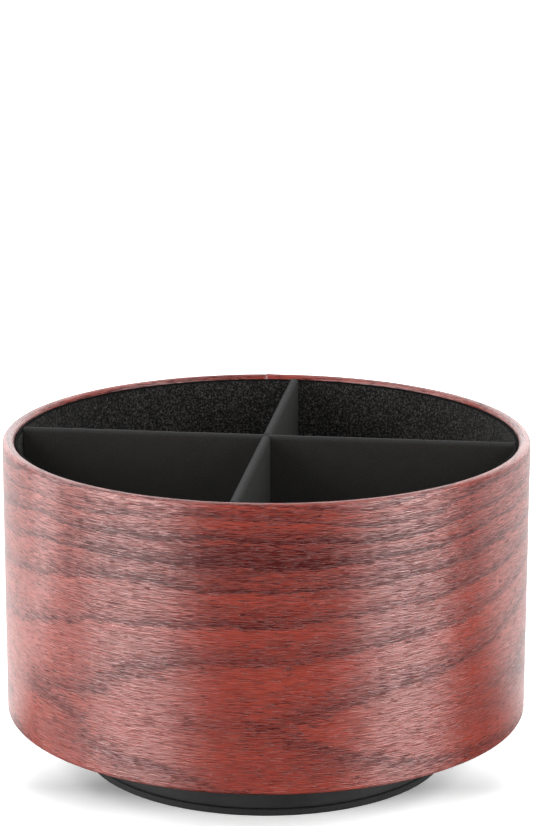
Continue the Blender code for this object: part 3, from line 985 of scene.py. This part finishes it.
def screws(material, name, body, head_down):
    for number in range(1, 5):
        low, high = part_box(f"{name}_{number}")
        seat = low.z + SCREW_HEAD_HEIGHT if head_down else high.z - SCREW_HEAD_HEIGHT
        turn = Matrix.Rotation(math.pi if head_down else 0, 4, "X")
        spin = Matrix.Rotation(0.4 * number, 4, "Z")
        mesh = screw_mesh()
        mesh.transform(Matrix.Translation(((low.x + high.x) / 2, (low.y + high.y) / 2, seat)) @ turn @ spin)
        mesh.name = f"{name}_{number}_threaded"
        piece(mesh, material, body, "screw", f"{name}_{number}")


def build():
    wood = wood_grain_leatherette()
    leatherette = black_leatherette()
    flocking = flock()
    suede = divider_suede()
    foam = foam_pad()
    zinc = metal("zinc_plate", (0.62, 0.62, 0.60), 0.36, 0.08)
    steel = metal("bearing_steel", (0.74, 0.74, 0.75), 0.14, 0.04)

    wood_grain_wrap(wood)
    wall_liner(flocking)
    floor_felt(flocking)
    underside_cover(leatherette)
    dividers(suede)
    foot_wrap(leatherette)
    anti_slip_pad(foam)
    bearing_plate("bearing_lower_plate", zinc, False, "foot")
    bearing_plate("bearing_upper_plate", zinc, True, "tray")
    bearing_eyelet(zinc)
    ball_cage(nylon())
    bearing_balls(steel)
    screws(zinc, "lower_screw", "foot", False)
    screws(zinc, "upper_screw", "tray", True)

    board = fibreboard("grey_board", (0.33, 0.26, 0.18), (0.22, 0.17, 0.11))
    for name in ("wall_tube", "floor_disc", "foot_disc", "cross_divider_board", "long_divider_board"):
        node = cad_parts[name]
        node.data.materials.clear()
        node.data.materials.append(board)


# The setting.


def heading(turn, elevation=0.0):
    """A direction from the object, turned anticlockwise from the camera's side, in degrees."""
    angle = FRONT + math.radians(turn)
    lift = math.radians(elevation)
    return Vector((math.cos(angle) * math.cos(lift), math.sin(angle) * math.cos(lift), math.sin(lift)))


def softbox(name, turn, elevation, distance, width, height, radiance, mirrored=True):
    """A soft light aimed at the object, with its turn and elevation in degrees and its sizes in metres.

    If it is not mirrored, the object shows no reflection of it.
    """
    light = bpy.data.lights.new(name, "AREA")
    light.shape = "RECTANGLE"
    light.size = width
    light.size_y = height
    light.energy = radiance * math.pi * width * height
    obj = bpy.data.objects.new(name, light)
    aim = Vector((0, 0, BODY_TOP / 2))
    obj.location = aim + heading(turn, elevation) * distance
    obj.rotation_euler = (aim - obj.location).to_track_quat("-Z", "Y").to_euler()
    obj.visible_camera = False
    obj.visible_glossy = mirrored
    bpy.context.scene.collection.objects.link(obj)


def studio_world():
    """White to the camera. As light, it is bright behind the object and dim on the camera's side.

    Reflections see a brighter backdrop than the one that lights the object.
    """
    world = bpy.data.worlds.new("studio")
    bpy.context.scene.world = world
    world.use_nodes = True
    tree = world.node_tree
    direction = add_node(tree, "ShaderNodeTexCoord").outputs["Generated"]
    dot = add_node(tree, "ShaderNodeVectorMath", direction, heading(180), operation="DOT_PRODUCT")
    facing = dot.outputs["Value"]
    lighting = add_node(tree, "ShaderNodeMapRange", facing, 0.3, 0.75, 0.3, 1.2).outputs[0]
    mirrored = add_node(tree, "ShaderNodeMapRange", facing, 0.4, 0.9, 0.0, 2.2).outputs[0]
    path = add_node(tree, "ShaderNodeLightPath").outputs
    strength = add_node(tree, "ShaderNodeMix", path["Is Glossy Ray"], None, lighting, mirrored).outputs[0]
    strength = add_node(tree, "ShaderNodeMix", path["Is Camera Ray"], None, strength, 1.0).outputs[0]
    background = tree.nodes["Background"].inputs
    feed(tree, background["Strength"], strength)
    feed(tree, background["Color"], (1, 1, 1, 1))


def floor():
    """A pale, plain floor.

    The camera sees it open to white away from the object's soft shadow. Painted light in front of and behind
    that shadow narrows it to a band beside the foot, and the floor's colour is painted darker just left of
    the object and brighter to the right. Reflections see it dark, with a glow on both sides of the object and
    a faint one in front.
    """
    half = 3.0
    corners = [(-half, -half, 0), (half, -half, 0), (half, half, 0), (-half, half, 0)]
    mesh = bpy.data.meshes.new("floor")
    mesh.from_pydata(corners, [], [(0, 1, 2, 3)])
    sh = Shader("pale_floor")
    path = sh.node("ShaderNodeLightPath").outputs
    seen, mirrored = path["Is Camera Ray"], path["Is Glossy Ray"]
    place = sh.place()
    away = sh.node("ShaderNodeVectorMath", place, operation="LENGTH").outputs["Value"]
    behind = sh.dot(place, heading(180))
    beside = sh.dot(place, heading(90))
    left = sh.times(sh.between(behind, -5, 30), sh.between(beside, -80, -93, 0.0, 1.6))
    right = sh.times(sh.between(behind, 0, 45), sh.between(beside, 80, 95, 0.0, 1.4))
    sides = sh.times(sh.add(left, right), sh.between(behind, 80, 200, 1.0, 0.8))
    # Painted light in front of and behind the object's shadow, which narrows the shadow to a band beside the
    # foot.
    painted_light_front_and_back = sh.add(sh.between(behind, -36, -56, 0.0, 0.4), sh.between(behind, -32, -8, 0.0, 0.5))
    # The glow that whitens the floor away from the object, with that painted light added.
    floor_glow_and_painted_light = sh.math("MAXIMUM", sh.between(away, 110, 300), painted_light_front_and_back)
    front = sh.times(sh.between(behind, -80, -110), sh.between(behind, -140, -280, 0.10, 0.0))
    glow = sh.add(sh.times(floor_glow_and_painted_light, seen), sh.times(sh.add(sides, front), mirrored))
    unseen = sh.mix(mirrored, (0.35, 0.35, 0.35), (0.02, 0.02, 0.02))
    # Painted light and shade: the floor's colour to the camera is darker just left of the object and brighter
    # to the right.
    tone = sh.add(sh.between(beside, -50, 50, 0.85, 1.33), sh.between(beside, -50, -74, 0.0, 0.25))
    material = sh.finish(
        Base_Color=sh.mix(seen, unseen, sh.grey(tone)),
        Roughness=1.0,
        Specular_IOR_Level=0.0,
        Emission_Color=(1, 1, 1),
        Emission_Strength=glow,
    )
    placed(mesh, material)


def camera():
    data = bpy.data.cameras.new("camera")
    data.lens = LENS
    data.sensor_width = 36
    obj = bpy.data.objects.new("camera", data)
    direction = heading(0)
    obj.location = (direction.x * VIEW_DISTANCE, direction.y * VIEW_DISTANCE, VIEW_HEIGHT)
    turn = Matrix.Rotation(VIEW_TURN, 4, "Z") @ Matrix.Rotation(math.pi / 2 - VIEW_PITCH, 4, "X")
    obj.rotation_euler = (turn @ Matrix.Rotation(VIEW_ROLL, 4, "Z")).to_euler()
    bpy.context.scene.collection.objects.link(obj)
    bpy.context.scene.camera = obj


def setting():
    studio_world()
    floor()
    softbox("right_softbox", 60, 18, 0.65, 0.45, 0.60, 5.4)
    softbox("left_softbox", -55, 18, 0.65, 0.48, 0.60, 4.8)
    softbox("left_outer_softbox", -93, 18, 0.65, 0.42, 0.60, 2.5)
    softbox("overhead_softbox", 180, 65, 0.9, 0.9, 0.7, 1.5, mirrored=False)
    softbox("front_fill", 0, 40, 0.9, 0.5, 0.5, 1.1, mirrored=False)
    bpy.context.scene.view_settings.view_transform = "Standard"
    camera()


build()
setting()
